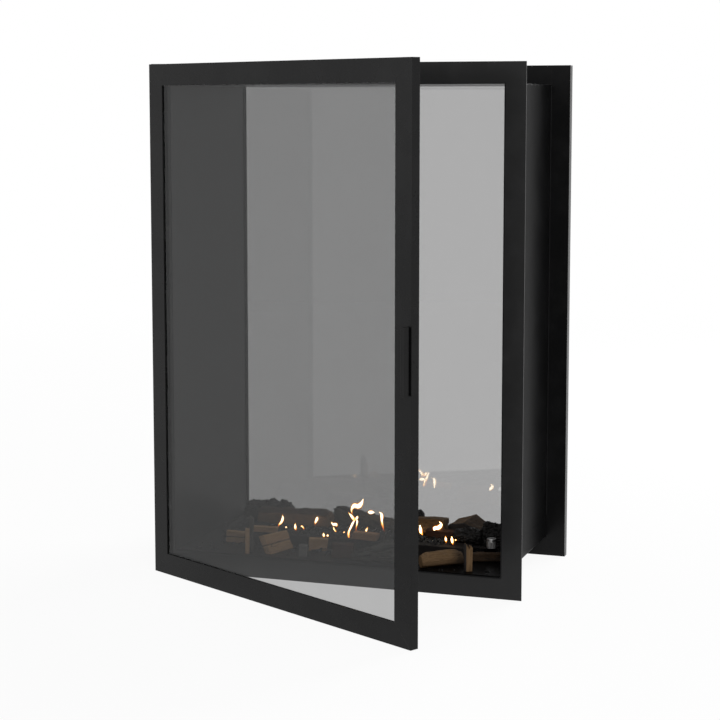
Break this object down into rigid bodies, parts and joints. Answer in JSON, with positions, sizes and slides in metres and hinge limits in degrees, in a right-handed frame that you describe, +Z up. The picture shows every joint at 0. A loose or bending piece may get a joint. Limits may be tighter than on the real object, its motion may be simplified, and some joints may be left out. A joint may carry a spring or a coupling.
{
  "type": "built-in bioethanol fireplace",
  "caption": "Tall see-through built-in fireplace with a framed glass door hinged on the left, a fixed rear pane, a ported ethanol burner with a sliding regulator and a log set.",
  "frame": {"origin": "centre of the four base fixing holes, in the casing's underside", "axes": "+X along the width to the door's free side, +Y into the wall to the rear pane, +Z up"},
  "size_m": [0.732, 0.749, 0.98],
  "materials": {
    "casing_paint": "satin black stove paint",
    "frame_paint": "satin black stove paint",
    "handle_paint": "satin black",
    "hearth_paint": "semi-gloss black",
    "hinge_steel": "matt black",
    "washer_bronze": "turned",
    "stainless_steel": "brushed, heat darkened",
    "plated_steel": "zinc plated",
    "black_screws": "black oxide",
    "ceramic_fibre": "matt fibre board",
    "gasket_fibre": "matt glass-fibre tape",
    "pane_glass": "clear glass with a grey tint",
    "charred_wood": "charred, cracked",
    "brown_wood": "split, scorched",
    "bark_wood": "rough bark",
    "red_wood": "scorched",
    "pale_wood": "sawn, unfinished",
    "ash_wood": "ashed surface"
  },
  "bodies": {
    "casing": {"front_flange": "casing_paint", "side_panel_left": "casing_paint", "side_panel_right": "casing_paint", "top_panel": "casing_paint", "base_pan": "casing_paint", "hearth_plate": "hearth_paint", "hinge_brackets": "hinge_steel", "hinge_washers": "washer_bronze", "burner_box": "stainless_steel", "ceramic_absorbent": "ceramic_fibre", "burner_cover": "stainless_steel", "burner_screws": "plated_steel", "rear_stile_left": "frame_paint", "rear_stile_right": "frame_paint", "rear_rail_top": "frame_paint", "rear_rail_bottom": "frame_paint", "rear_glass": "pane_glass", "rear_gasket": "gasket_fibre", "rear_glazing_beads": "frame_paint", "rear_bead_screws": "black_screws", "rear_frame_screws": "black_screws", "log_charred_left": "charred_wood", "log_brown_rear": "brown_wood", "log_bark_middle": "bark_wood", "log_charred_middle": "charred_wood", "log_boxy_right": "brown_wood", "log_ridge_right": "brown_wood", "log_charred_right": "charred_wood", "log_charred_small": "charred_wood", "log_red_middle": "red_wood", "log_pale_front": "pale_wood", "log_brown_right": "brown_wood", "log_grey_front": "bark_wood", "log_dark_left": "charred_wood", "block_upright_left": "pale_wood", "block_upright_dark": "charred_wood", "block_upright_right": "pale_wood", "block_leaning_left": "pale_wood", "block_flat_left": "pale_wood", "block_flat_middle": "pale_wood", "block_short_middle": "pale_wood", "block_red_front": "red_wood", "block_brown_middle": "brown_wood", "block_grey_middle": "ash_wood"},
    "door": {"door_stile_hinge": "frame_paint", "door_stile_latch": "frame_paint", "door_rail_top": "frame_paint", "door_rail_bottom": "frame_paint", "door_glass": "pane_glass", "door_gasket": "gasket_fibre", "door_glazing_beads": "frame_paint", "door_bead_screws": "black_screws", "hinge_blocks": "hinge_steel", "hinge_pins": "plated_steel", "door_magnets": "plated_steel", "handle_bar": "handle_paint", "handle_screws": "plated_steel"},
    "regulator": {"regulator_slide": "stainless_steel", "regulator_knob": "stainless_steel"}
  },
  "joints": [
    {"name": "door_hinge", "type": "hinge", "parent": "casing", "child": "door", "pos_m": [-0.353, -0.1915, 0.452], "axis": [0, 0, -1], "range_deg": [-29, 66]},
    {"name": "regulator_slide", "type": "slide", "parent": "casing", "child": "regulator", "axis": [1, 0, 0], "range_m": [0, 0.0075]}
  ]
}
